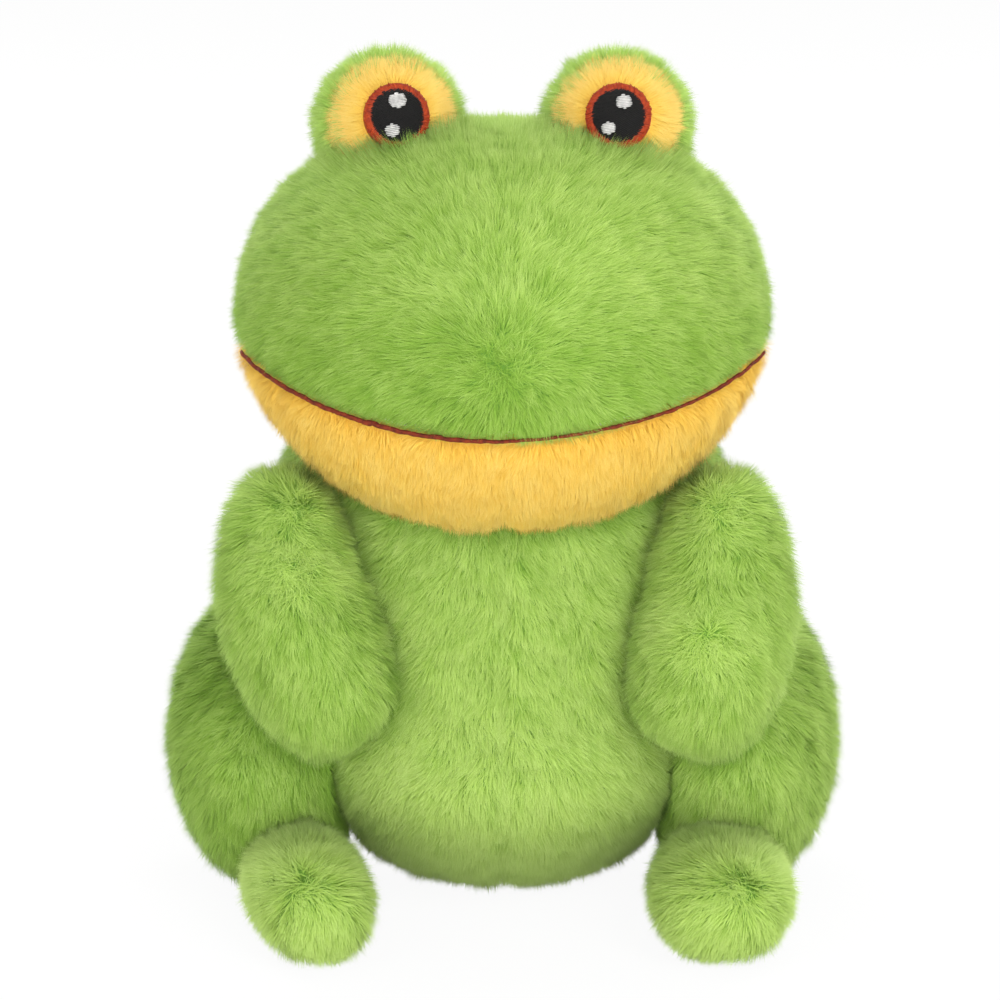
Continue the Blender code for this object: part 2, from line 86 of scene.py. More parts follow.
def egg(centre, half_width, half_depth, rise, drop, lean=0.0, jut=0.0, top_share=1.0,
        blunt_top=1.0, blunt_bottom=1.0, tucked=False):
    """A ball that swells: its top leans back, its bottom juts forward, its sides are blunter."""
    def place(ball, grow):
        x, y, z = ball.T
        ring = np.maximum(np.hypot(x, y), 1e-9)
        swell = ring ** (np.where(z > 0, blunt_top, blunt_bottom) - 1)
        widen = np.where(z > 0, 1 + (top_share - 1) * np.sin(math.pi / 2 * z), 1.0)
        forward = jut * ((1 - y) / 2 * (np.cos(2 * math.pi * z) - 1) / 2 if tucked else z)
        return np.stack([
            centre[0] + (half_width + grow) * x * swell * widen,
            centre[1] + (half_depth + grow) * y * swell + np.where(z > 0, lean * z, forward),
            centre[2] + (np.where(z > 0, rise, drop) + grow) * z,
        ], axis=1)
    return place


def limb(spine, start_radius, end_radius, height_share=1.0, blunt=1.0):
    """A ball drawn out along a bent spine, from one radius to another."""
    start, bend, end = (np.array(p, float) for p in spine)

    def place(ball, grow):
        x, y, z = ball.T
        share = ((1 - z) / 2)[:, None]
        middle = start * (1 - share) ** 2 + bend * (2 * share * (1 - share)) + end * share**2
        along = unit((bend - start) * (1 - share) + (end - bend) * share)
        across = unit(np.array([1.0, 0, 0]) - along * along[:, :1])
        upright = np.cross(along, across)
        swell = (np.maximum(np.hypot(x, y), 1e-9) ** (blunt - 1))[:, None]
        radius = start_radius * (1 - share) + end_radius * share
        return (
            middle
            - along * (grow * z[:, None])
            + across * ((radius + grow) * swell * x[:, None])
            + upright * ((radius * height_share + grow) * swell * y[:, None])
        )
    return place


def beside(out, forward, up, side):
    return (side * (TORSO_HALF_WIDTH + out), TORSO_Y - forward, up)


torso_form = egg((0, TORSO_Y, TORSO_WAIST_Z), TORSO_HALF_WIDTH, half_depth=48.0, rise=TORSO_RISE,
                 drop=TORSO_WAIST_Z + 0.5, lean=10.0, jut=14.0, top_share=1.27, blunt_top=0.72,
                 blunt_bottom=0.76, tucked=True)
head_form = egg(HEAD_CENTRE, HEAD_HALF_WIDTH, half_depth=54.0, rise=47.5, drop=52.0, lean=4.0,
                jut=15.0, blunt_top=0.68)
leg_forms, foot_forms, arm_forms, eye_forms, looks = {}, {}, {}, {}, {}
for side, s in SIDES:
    leg_forms[side] = egg(beside(5.0, 5.0, 41.0, s), half_width=27.0, half_depth=41.0, rise=38.0,
                          drop=41.5, lean=12.0)
    shoulder, elbow = beside(-0.5, 30.0, 120.5, s), beside(5.0, 41.0, 85.0, s)
    paw = beside(-11.0, 50.0, 51.5, s) if s > 0 else beside(-20.0, 50.0, 54.0, s)
    arm_forms[side] = limb([shoulder, elbow, paw], start_radius=16.0, end_radius=22.0,
                           blunt=LIMB_BLUNT)
    heel = beside(0.0, 28.0, 13.0, s)
    arch = beside(1.0, 59.0, 14.5, s) if s > 0 else beside(-5.0, 59.0, 14.5, s)
    tip = beside(-1.0, 88.0, 11.5, s) if s > 0 else beside(-12.5, 88.0, 11.5, s)
    half_width = 18.5 if s > 0 else 15.5
    foot_forms[side] = limb([heel, arch, tip], start_radius=half_width * 0.9, end_radius=half_width,
                            height_share=FOOT_HALF_HEIGHT / half_width, blunt=LIMB_BLUNT)
    eye_forms[side] = egg((s * EYE_SPREAD, EYE_Y, EYE_Z), EYE_RADIUS, EYE_RADIUS, EYE_RADIUS,
                          EYE_RADIUS)
    look = Vector((0, -1, 0))
    look.rotate(Euler((-math.radians(LOOK_UP_DEG), 0, math.radians(LOOK_TURN_DEG[side]))))
    looks[side] = np.array(look)


def mouth_height(x, y):
    """How high the mouth seam runs: it slopes up to the back and smiles up to the sides."""
    slope = math.tan(math.radians(MOUTH_SLOPE_DEG))
    return MOUTH_Z + slope * (y - HEAD_CENTRE[1]) + MOUTH_SMILE * (x / HEAD_HALF_WIDTH) ** 2


# Materials
def linear(hex_colour):
    """An sRGB hex colour as linear red, green, blue and alpha."""
    values = []
    for start in (1, 3, 5):
        value = int(hex_colour[start : start + 2], 16) / 255
        values.append(value / 12.92 if value <= 0.04045 else ((value + 0.055) / 1.055) ** 2.4)
    return (*values, 1.0)


def add(tree, kind, links=None, ramp=None, **settings):
    """Adds a shader node with its settings, the stops of its ramp and its links."""
    made = tree.nodes.new("ShaderNode" + kind)
    for name, value in settings.items():
        if hasattr(made, name):
            setattr(made, name, value)
        else:
            made.inputs[name.replace("_", " ")].default_value = value
    if ramp:
        stops = made.color_ramp.elements
        while len(stops) < len(ramp):
            stops.new(0.5)
        for stop, (position, colour) in zip(stops, ramp):
            stop.position = position
            stop.color = linear(colour)
    for socket, source in (links or {}).items():
        tree.links.new(source, made.inputs[socket])
    return made


def new_material(name):
    made = bpy.data.materials.new(name)
    made.use_nodes = True
    return made, made.node_tree, made.node_tree.nodes["Principled BSDF"]


def finish_shader(tree, shader, settings, colour=None, bump=None):
    for name, value in settings.items():
        shader.inputs[name].default_value = value
    if colour:
        tree.links.new(colour, shader.inputs["Base Color"])
    if bump:
        tree.links.new(bump, shader.inputs["Normal"])


PILE_MAP = "OFBake"


def pile_material(name, dark, light, sheen):
    """Acrylic pile: each strand is dark at its root, a painted shade deep in the pile, and pale at its
    tip, and no two are one shade.
    """
    made, tree, shader = new_material(name)
    where = add(tree, "UVMap", uv_map=PILE_MAP)
    parts = add(tree, "SeparateXYZ", {"Vector": where.outputs["UV"]})
    low = add(tree, "ValToRGB", {"Fac": parts.outputs["Y"]}, dark)
    high = add(tree, "ValToRGB", {"Fac": parts.outputs["Y"]}, light)
    mixed = add(tree, "Mix", data_type="RGBA")
    tree.links.new(parts.outputs["X"], mixed.inputs["Factor"])
    tree.links.new(low.outputs["Color"], mixed.inputs["A"])
    tree.links.new(high.outputs["Color"], mixed.inputs["B"])
    tree.links.new(mixed.outputs["Result"], shader.inputs["Base Color"])
    finish_shader(tree, shader, {
        "Roughness": 0.7, "Specular IOR Level": 0.08,
        "Sheen Weight": 0.1, "Sheen Roughness": 0.45, "Sheen Tint": linear(sheen),
    })
    return made


def backing_material(name, dark, light):
    """Knitted polyester backing, seen only as the ground between strands; loops of 0.8 mm."""
    made, tree, shader = new_material(name)
    where = add(tree, "TexCoord")
    loops = add(tree, "TexVoronoi", {"Vector": where.outputs["Object"]}, Scale=1250.0)
    blotch = add(tree, "TexNoise", {"Vector": where.outputs["Object"]}, Scale=120.0, Detail=3.0)
    tone = add(tree, "ValToRGB", {"Fac": blotch.outputs["Fac"]}, [(0.3, dark), (0.7, light)])
    bump = add(tree, "Bump", {"Height": loops.outputs["Distance"]}, Strength=0.5, Distance=0.0004)
    finish_shader(tree, shader, {"Roughness": 0.95}, tone.outputs["Color"], bump.outputs["Normal"])
    return made


def thread_material(name, dark, light, roughness):
    """Rayon embroidery thread: plies of 0.2 mm with a silky sheen across them."""
    made, tree, shader = new_material(name)
    where = add(tree, "TexCoord")
    fray = add(tree, "TexNoise", {"Vector": where.outputs["Object"]}, Scale=900.0, Detail=4.0)
    tone = add(tree, "ValToRGB", {"Fac": fray.outputs["Fac"]}, [(0.3, dark), (0.7, light)])
    plies = add(tree, "TexNoise", {"Vector": where.outputs["Object"]}, Scale=4500.0, Detail=2.0)
    bump = add(tree, "Bump", {"Height": plies.outputs["Fac"]}, Strength=0.4, Distance=0.0002)
    finish_shader(tree, shader, {
        "Roughness": roughness, "Specular IOR Level": 0.25,
    }, tone.outputs["Color"], bump.outputs["Normal"])
    return made


def wadding_material():
    """Loose polyester fibre: matt, near white, in soft clouds of about 6 mm."""
    made, tree, shader = new_material("polyester fibre wadding")
    where = add(tree, "TexCoord")
    clouds = add(tree, "TexNoise", {"Vector": where.outputs["Object"]}, Scale=160.0, Detail=8.0)
    tone = add(tree, "ValToRGB", {"Fac": clouds.outputs["Fac"]},
               [(0.3, "#DCD9D0"), (0.7, "#F4F2EC")])
    bump = add(tree, "Bump", {"Height": clouds.outputs["Fac"]}, Strength=0.8, Distance=0.002)
    finish_shader(tree, shader, {"Roughness": 1.0}, tone.outputs["Color"], bump.outputs["Normal"])
    return made


def pouch_material():
    """Plain calico: a 0.6 mm over-and-under weave, cream and matt."""
    made, tree, shader = new_material("plain calico")
    where = add(tree, "TexCoord")
    weave = add(tree, "TexChecker", {"Vector": where.outputs["Object"]}, Scale=1650.0,
                Color1=linear("#D8CDB4"), Color2=linear("#C4B798"))
    bump = add(tree, "Bump", {"Height": weave.outputs["Fac"]}, Strength=0.3, Distance=0.0002)
    finish_shader(tree, shader, {"Roughness": 0.9}, weave.outputs["Color"], bump.outputs["Normal"])
    return made


green_pile = pile_material(
    "green acrylic pile",
    [(0.0, "#5C8828"), (0.45, "#7CA73A"), (1.0, "#95BC4A")],
    [(0.0, "#8FB845"), (0.5, "#B0D062"), (1.0, "#CCE688")],
    "#D8EDB0",
)
yellow_pile = pile_material(
    "yellow acrylic pile",
    [(0.0, "#E2A838"), (0.4, "#EDBC46"), (1.0, "#F3C856")],
    [(0.0, "#F0C44E"), (0.5, "#F6D264"), (1.0, "#FBE086")],
    "#FFF0C0",
)
green_backing = backing_material("green knitted backing", "#5C8A2A", "#6E9C36")
yellow_backing = backing_material("yellow knitted backing", "#DDA63C", "#E8B850")
red_thread = thread_material("red rayon thread", "#741E0A", "#A83C12", 0.5)
black_thread = thread_material("black rayon thread", "#030303", "#0C0A08", 0.6)
pale_thread = thread_material("pale grey rayon thread", "#9F9E9C", "#D0CECB", 0.45)
brown_thread = thread_material("brown cotton thread", "#48160A", "#7E2E14", 0.8)
wadding = wadding_material()
calico = pouch_material()


# Making and cutting the padded backings
def read_points(obj):
    points = np.empty(len(obj.data.vertices) * 3)
    obj.data.vertices.foreach_get("co", points)
    return points.reshape(-1, 3) / MM


def write_points(obj, points):
    obj.data.vertices.foreach_set("co", (points * MM).ravel())
    obj.data.update()


def pick(obj):
    bpy.ops.object.select_all(action="DESELECT")
    obj.select_set(True)
    bpy.context.view_layer.objects.active = obj


def apply_modifier(obj, modifier):
    pick(obj)
    bpy.ops.object.modifier_apply(modifier=modifier.name)


def ball(name, form, grow, around=72, along=36):
    """A ball moved point by point to a form's surface."""
    bpy.ops.object.select_all(action="DESELECT")
    bpy.ops.mesh.primitive_uv_sphere_add(segments=around, ring_count=along, radius=1, calc_uvs=False)
    made = bpy.context.active_object
    made.name = name
    write_points(made, form(read_points(made) * MM, grow))
    bpy.ops.object.mode_set(mode="EDIT")
    bpy.ops.mesh.select_all(action="SELECT")
    bpy.ops.mesh.normals_make_consistent(inside=False)
    bpy.ops.object.mode_set(mode="OBJECT")
    return made


def block(point, outward):
    """A large cube in front of a plane that passes the point and faces outward."""
    reach = 300.0
    turn = Vector(outward).to_track_quat("Z", "Y")
    middle = np.array(point) + np.array(outward) * reach / 2
    bpy.ops.object.select_all(action="DESELECT")
    bpy.ops.mesh.primitive_cube_add(size=reach * MM, location=middle * MM, calc_uvs=False)
    made = bpy.context.active_object
    made.rotation_mode = "QUATERNION"
    made.rotation_quaternion = turn
    bpy.context.view_layer.update()
    return made


def chin_space(grow):
    """A block under the mouth seam, as far back as the mouth's corners."""
    reach = 130.0
    bpy.ops.object.select_all(action="DESELECT")
    bpy.ops.mesh.primitive_grid_add(x_subdivisions=32, y_subdivisions=2, size=1, calc_uvs=False)
    made = bpy.context.active_object
    points = read_points(made) * MM
    points[:, 0] *= 2 * reach
    points[:, 1] = MOUTH_CORNER_Y + grow + (points[:, 1] - 0.5) * reach
    points[:, 2] = mouth_height(points[:, 0], points[:, 1]) + grow
    write_points(made, points)
    bpy.ops.object.mode_set(mode="EDIT")
    bpy.ops.mesh.select_all(action="SELECT")
    bpy.ops.mesh.extrude_region_move(TRANSFORM_OT_translate={"value": (0, 0, -reach * MM)})
    bpy.ops.mesh.select_all(action="SELECT")
    bpy.ops.mesh.normals_make_consistent(inside=False)
    bpy.ops.object.mode_set(mode="OBJECT")
    return made


def cut(obj, other, operation="DIFFERENCE"):
    step = obj.modifiers.new("cut", "BOOLEAN")
    step.operation = operation
    step.object = other
    step.solver = "EXACT"
    apply_modifier(obj, step)
    bpy.data.objects.remove(other)


START_SMALLER = 0.6  # millimetres that a backing starts inside its form, because stuffing swells it


def backing(name, form, voxel, cuts=()):
    """A closed cover: its form, cut by what it is sewn against, in an even net of faces."""
    made = ball(name, form, -START_SMALLER)
    for other, operation in cuts:
        cut(made, other(), operation)
    step = made.modifiers.new("net", "REMESH")
    step.mode = "VOXEL"
    step.voxel_size = voxel * MM
    apply_modifier(made, step)
    return made


def room(form, clearance):
    return (lambda: ball("room", form, clearance), "DIFFERENCE")


NECK_RADIUS = 24.0
NECK_BACK = 6.0
NECK_RISE = 5.5


def neck(grow, operation):
    """A peg on the torso, and the hole for it under the head."""
    def make():
        bpy.ops.object.select_all(action="DESELECT")
        low, high = TORSO_WAIST_Z, TORSO_WAIST_Z + TORSO_RISE + NECK_RISE + grow
        middle = (0, (TORSO_Y + NECK_BACK) * MM, (high + low) / 2 * MM)
        bpy.ops.mesh.primitive_cylinder_add(vertices=48, radius=(NECK_RADIUS + grow) * MM,
                                            depth=(high - low) * MM, location=middle, calc_uvs=False)
        return bpy.context.active_object
    return make, operation


backings = {}
backings["torso"] = backing("torso_backing", torso_form, 3.0, [neck(0.0, "UNION")])
under_head = [room(torso_form, HEAD_ROOM), neck(SEWN_ROOM, "DIFFERENCE")]
backings["head"] = backing("head_backing", head_form, 2.6,
                           [*under_head, (lambda: chin_space(MOUTH_HALF_GAP), "DIFFERENCE")])
backings["chin"] = backing("chin_backing", head_form, 2.4,
                           [*under_head, (lambda: chin_space(-MOUTH_HALF_GAP), "INTERSECT")])
for side, s in SIDES:
    arm_room = [room(torso_form, LIMB_ROOM), room(leg_forms[side], PAW_ROOM),
                room(head_form, LIMB_ROOM)]
    backings["arm_" + side] = backing(f"arm_{side}_backing", arm_forms[side], 2.2, arm_room)
    backings["leg_" + side] = backing(f"leg_{side}_backing", leg_forms[side], 2.6,
                                      [room(torso_form, LIMB_ROOM)])
    backings["foot_" + side] = backing(f"foot_{side}_backing", foot_forms[side], 2.0,
                                       [room(leg_forms[side], LIMB_ROOM)])
    front = np.array((s * EYE_SPREAD, EYE_Y, EYE_Z)) + looks[side] * PATCH_FRONT
    keep_front = (lambda at=front, way=looks[side]: block(at + way * PATCH_HALF_GAP, way), "INTERSECT")
    keep_back = (lambda at=front, way=looks[side]: block(at - way * PATCH_HALF_GAP, way), "DIFFERENCE")
    backings["patch_" + side] = backing(f"eye_patch_{side}_backing", eye_forms[side], 1.5,
                                        [room(head_form, SEWN_ROOM), keep_front])
    backings["mound_" + side] = backing(f"eye_mound_{side}_backing", eye_forms[side], 1.5,
                                        [room(head_form, SEWN_ROOM), keep_back])


# Stuffing: cloth under pressure from inside, held near its start, then one subdivision
def point_normals(obj):
    normals = np.empty(len(obj.data.vertices) * 3)
    obj.data.vertices.foreach_get("normal", normals)
    return normals.reshape(-1, 3)


def stuff(objects, pressure=4.0, frames=20, swell=1.6, sink=0.3):
    starts = {}
    for obj in objects:
        starts[obj.name] = read_points(obj)
        cloth = obj.modifiers.new("stuffing", "CLOTH")
        cloth.settings.use_pressure = True
        cloth.settings.uniform_pressure_force = pressure
        cloth.settings.mass = 0.02
        cloth.settings.tension_stiffness = 5.0
        cloth.settings.compression_stiffness = 5.0
        cloth.settings.effector_weights.gravity = 0.0
        cloth.collision_settings.use_collision = False
        cloth.point_cache.frame_start = 1
        cloth.point_cache.frame_end = frames
    for step in range(1, frames + 1):
        bpy.context.scene.frame_set(step)
    graph = bpy.context.evaluated_depsgraph_get()
    ends = {obj.name: read_points(obj.evaluated_get(graph)) for obj in objects}
    for obj in objects:
        obj.modifiers.clear()
        out = point_normals(obj)
        moved = ((ends[obj.name] - starts[obj.name]) * out).sum(axis=1, keepdims=True)
        write_points(obj, starts[obj.name] + out * np.clip(np.round(moved, 2), -sink, swell))
    bpy.context.scene.frame_set(1)
    for obj in objects:
        step = obj.modifiers.new("round", "SUBSURF")
        step.levels = step.render_levels = 1
        apply_modifier(obj, step)
        points = read_points(obj)
        points[:, 2] = np.maximum(points[:, 2], 0.2)
        write_points(obj, points)


stuff(list(backings.values()))


# Seams that show as shallow furrows: each is where it runs and how deep it draws the cover in
def furrow(obj, share, depth):
    points, out = read_points(obj), point_normals(obj)
    write_points(obj, points - out * (depth * share(points))[:, None])


furrow(backings["torso"], lambda p: np.exp(-((p[:, 0] / 2.2) ** 2)), 1.2)
furrow(backings["head"], lambda p: np.exp(-((p[:, 0] / 2.0) ** 2)) * (p[:, 1] < TORSO_Y) *
       (1 - smooth_step(156.0, 168.0, p[:, 2])), 0.7)
furrow(backings["chin"], lambda p: np.exp(-((p[:, 0] / 2.5) ** 2)) *
       (0.2 + 0.8 * smooth_step(130.0, 122.0, p[:, 2])), 1.2)


# The pile, in millimetres, with strands to the square millimetre
DENSE = 9.5
THIN = 8.0
TUFT = 1.7
FREE_ROOM = 1.0
PRESSED_ROOM = 3.0
PRESSED_TOP_Z = 122.0
WHORL_REACH = 8.0
ROOT_DEPTH = 0.3
FLOOR_CLEAR = 0.15


def tree_of(obj):
    graph = bpy.context.evaluated_depsgraph_get()
    return BVHTree.FromObject(obj, graph)


def distances(tree, points, reach=12.0):
    """Millimetres from each point to a surface, or the reach where it is further."""
    found = [tree.find_nearest(Vector(p), reach * MM)[3] for p in points * MM]
    return np.array([reach if far is None else far / MM for far in found])


def waves(points, size, seed):
    """A smooth pattern from -1 to 1 with swells about one size across."""
    made = np.random.default_rng(seed)
    total = np.zeros(len(points))
    for _ in range(7):
        way = unit(made.normal(size=3))
        total += np.sin(points @ way * (2 * math.pi / size / made.uniform(0.7, 1.5))
                        + made.uniform(0, 2 * math.pi))
    return total / 3.5


def sources(spots, fall, spread=0.0):
    """A nap that parts at whorls and then hangs: each spot is a point and its strength."""
    def nap(points):
        way = np.zeros_like(points)
        for spot, strength in spots:
            away = points - np.array(spot)
            way += strength * away / np.maximum((away**2).sum(axis=1, keepdims=True), 4.0)
        way[:, 0] += spread * points[:, 0]
        return way + np.array([0, 0, -fall])
    return nap


trees = {name: tree_of(obj) for name, obj in backings.items()}
RIDES = {"torso": "torso", "head": "head", "chin": "head"}
for side, s in SIDES:
    RIDES.update({"patch_" + side: "head", "mound_" + side: "head", "arm_" + side: "arm_" + side,
                  "leg_" + side: "leg_" + side, "foot_" + side: "leg_" + side})
FORMS = {"torso": torso_form, "head": head_form, "chin": head_form}
for side, s in SIDES:
    FORMS.update({"patch_" + side: eye_forms[side], "mound_" + side: eye_forms[side],
                  "arm_" + side: arm_forms[side], "leg_" + side: leg_forms[side],
                  "foot_" + side: foot_forms[side]})


def skin_of(name):
    """A backing as arrays: points, normals, triangles, room to other bodies and what is outside."""
    obj = backings[name]
    obj.data.calc_loop_triangles()
    corners = np.empty(len(obj.data.loop_triangles) * 3, int)
    obj.data.loop_triangles.foreach_get("vertices", corners)
    points, out = read_points(obj), point_normals(obj)
    apart = np.full(len(points), 12.0)
    for other, tree in trees.items():
        if RIDES[other] != RIDES[name]:
            apart = np.minimum(apart, distances(tree, points))
    whole = ball("whole", FORMS[name], 0.0)
    outside = (distances(tree_of(whole), points, 6.0) < 2.2) & (apart > FREE_ROOM)
    bpy.data.objects.remove(whole)
    # Where a limb lies against the torso, both keep a flattened pile that shows when it lifts
    pressed = (apart < PRESSED_ROOM) & (points[:, 2] < PRESSED_TOP_Z) & (RIDES[name] != "head")
    return points, out, corners.reshape(-1, 3), apart, outside | pressed


def strand_mesh(name, material, feet, tips, sides, shades, normals):
    """Every strand as one long triangle, from its root to a fine tip."""
    count = len(feet)
    points = np.stack([feet - sides, feet + sides, tips], axis=1)
    points[..., 2] = np.maximum(points[..., 2], FLOOR_CLEAR)
    along = np.array([0.02, 0.02, 0.98])
    made = bpy.data.meshes.new(name)
    made.vertices.add(count * 3)
    made.vertices.foreach_set("co", (points * MM).astype(np.float32).ravel())
    made.loops.add(count * 3)
    made.loops.foreach_set("vertex_index", np.arange(count * 3, dtype=np.int32))
    made.polygons.add(count)
    made.polygons.foreach_set("loop_start", np.arange(count, dtype=np.int32) * 3)
    made.update(calc_edges=True)
    made.polygons.foreach_set("use_smooth", np.ones(count, bool))
    strips = made.uv_layers.new(name=PILE_MAP)
    spots = np.stack([np.repeat(shades[:, None], 3, axis=1), np.tile(along, (count, 1))], axis=2)
    strips.data.foreach_set("uv", spots.astype(np.float32).ravel())
    made.materials.append(material)
    made.normals_split_custom_set_from_vertices(np.repeat(normals, 3, axis=0))
    obj = bpy.data.objects.new(name, made)
    bpy.context.scene.collection.objects.link(obj)
    return obj


def pile(name, body, material, skin, nap, length, density=DENSE, width=0.22, keep=None,
         limit=None, lift=1.0, shade=None, whorls=(), brush=None, crevice_painted_shade=0.75, variety=1.0):
    """Sews a pile into the part of a backing that keep leaves, lying the way that nap says."""
    points, out, corners, apart, outside = skin
    a, b, c = (points[corners[:, k]] for k in range(3))
    area = np.linalg.norm(np.cross(b - a, c - a), axis=1) / 2
    good = outside[corners].all(axis=1)
    if keep is not None:
        good &= keep((a + b + c) / 3)
    area = area * good
    # A count in hundreds and draws of its own keep each pile the same from run to run
    count = int(area.sum() * density / 100) * 100
    random = np.random.default_rng([ord(letter) for letter in name])
    face = random.choice(len(area), count, p=area / area.sum())
    u, v = random.random((2, count))
    flip = u + v > 1
    u[flip], v[flip] = 1 - u[flip], 1 - v[flip]
    share = np.stack([1 - u - v, u, v], axis=1)

    def at(values):
        picked = values[corners[face]]
        weights = share[..., None] if values.ndim == 2 else share
        return (picked * weights).sum(axis=1)

    feet, up, gap = at(points), unit(at(out)), at(apart)
    lay = nap(feet)
    lay = unit(lay - up * (lay * up).sum(axis=1, keepdims=True))
    cross = np.cross(lay, up)
    turn = 0.40 * waves(feet, 11.0, 3) + 0.34 * waves(feet, 3.4, 4) + random.normal(0, 0.26, count)
    rise = lift * (0.5 + 0.5 * smooth_step(0.5, 6.0, gap)) * (1 + 0.3 * waves(feet, 6.0, 6))
    stand = np.clip(random.normal(0.62, 0.16, count) * rise, 0.08, 1.4)
    # Near a whorl the tone is raised: painted light over the dark roots that the parting shows.
    parting = np.zeros(count)
    for spot in whorls:
        near = np.exp(-((feet - np.array(spot)) ** 2).sum(axis=1) / WHORL_REACH**2)
        parting = np.maximum(parting, near)
        turn = turn + near * (2.2 * waves(feet, 5.0, 11) + random.normal(0, 1.1, count))
    lay = lay * np.cos(turn)[:, None] + cross * np.sin(turn)[:, None]
    cross = np.cross(lay, up)
    long = length * (1 + 0.10 * waves(feet, 5.0, 5)) * random.uniform(0.72, 1.12, count)
    long = long * (0.55 + 0.45 * smooth_step(0.5, 7.0, gap))
    if limit is not None:
        long = np.minimum(long, limit(feet, lay))
    if brush is not None:
        near = brush(feet)
        stand = stand + (1.15 - stand) * near
        long = long * (1 + 0.5 * near)
    stand, long = stand[:, None], long[:, None]
    tips = feet + (lay * np.cos(stand) + up * np.sin(stand)) * long
    # Tufts: strands that root within a cell lean their tips together
    cell = np.floor((feet + 0.8 * np.stack([waves(feet, 4.0, k) for k in (7, 8, 9)], axis=1)) / TUFT)
    _, tuft = np.unique(cell.astype(int), axis=0, return_inverse=True)
    tuft = tuft.ravel()
    number = np.maximum(np.bincount(tuft), 1)
    middle = np.stack([np.bincount(tuft, tips[:, k]) for k in range(3)], axis=1) / number[:, None]
    pull = random.uniform(0.0, 0.35, count)[:, None]
    tips = tips + (middle[tuft] - tips) * pull
    roll = random.uniform(-0.8, 0.8, count)[:, None]
    half = width / 2 * random.uniform(0.8, 1.2, (count, 1))
    sides = (cross * np.cos(roll) + up * np.sin(roll)) * half
    facing = unit(up * np.cos(roll) - cross * np.sin(roll))
    normals = unit(up * 0.65 + facing * 0.55 + lay * 0.2)
    tone = random.normal(0, 0.20, count) + random.normal(0, 0.11, len(number))[tuft]
    tone = tone + 0.12 * waves(feet, 14.0, 10) + 0.08 * waves(feet, 6.0, 13)
    # Within 9.5 mm of another body the pile is painted darker: painted shade in the crevices between
    # parts.
    tone = 0.54 + variety * tone + 0.4 * parting - crevice_painted_shade * (1 - smooth_step(0.5, 9.5, gap))
    # Each region's shade adds its painted light and shade, or for the eyes' pile an even tone.
    if shade is not None:
        tone = tone + shade(feet)
    tone = np.clip(tone, 0.02, 0.98)
    obj = strand_mesh(name, material, feet - up * ROOT_DEPTH, tips, sides, tone, normals)
    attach(obj, body)
    return obj


SNOUT = (0.0, TORSO_Y - 67.3, 157.4)
skins = {name: skin_of(name) for name in backings}


def lip(feet, lay):
    """Strands that run down to the mouth stop at its seam."""
    above = feet[:, 2] - mouth_height(feet[:, 0], feet[:, 1])
    free = (lay[:, 2] > -0.15) | (feet[:, 1] > MOUTH_CORNER_Y)
    past = 1.5 + 0.8 * waves(feet, 9.0, 12) + 2.2 * np.exp(-(((feet[:, 0] - 18.0) / 14.0) ** 2))
    return np.where(free, 99.0, np.maximum(past, 0.8) + np.maximum(above, 0) * 1.05)


def head_nap(points):
    way = sources([(SNOUT, 18.0)], 0.25)(points)
    back = smooth_step(15.0, 45.0, points[:, 1])[:, None]
    return way * (1 - back) + np.array([0, 0.3, -1.0]) * back


def brow(feet):
    """The forehead's pile stands up and is longer at the foot of the eyes."""
    far = np.minimum(distances(trees["patch_left"], feet), distances(trees["patch_right"], feet))
    return 1 - smooth_step(3.5, 11.0, far)


def head_painted_shade_and_light(feet):
    """Painted shade makes the pile darker on the front of the face under the snout, at the snout's whorl
    and toward the frog's right, away from the key light; painted light makes it paler over the back of
    the head.
    """
    face = smooth_step(20.0, 0.0, feet[:, 1])
    under = 0.30 * smooth_step(178.0, 158.0, feet[:, 2]) + 0.10 * smooth_step(30.0, -60.0, feet[:, 0])
    whorl = 0.45 * np.exp(-((feet - np.array(SNOUT)) ** 2).sum(axis=1) / 9.0**2)
    return 0.3 * smooth_step(10.0, 30.0, feet[:, 1]) - (under + whorl) * face


def belly_painted_light(feet):
    """The pile is a little paler all over; painted light makes it paler low on the belly, and palest
    under it, where it is turned from the lamps.
    """
    low = smooth_step(80.0, 35.0, feet[:, 2])
    return 0.10 + 0.30 * low + 0.30 * smooth_step(32.0, 10.0, feet[:, 2])


def even(tone):
    return lambda feet: np.full(len(feet), tone)


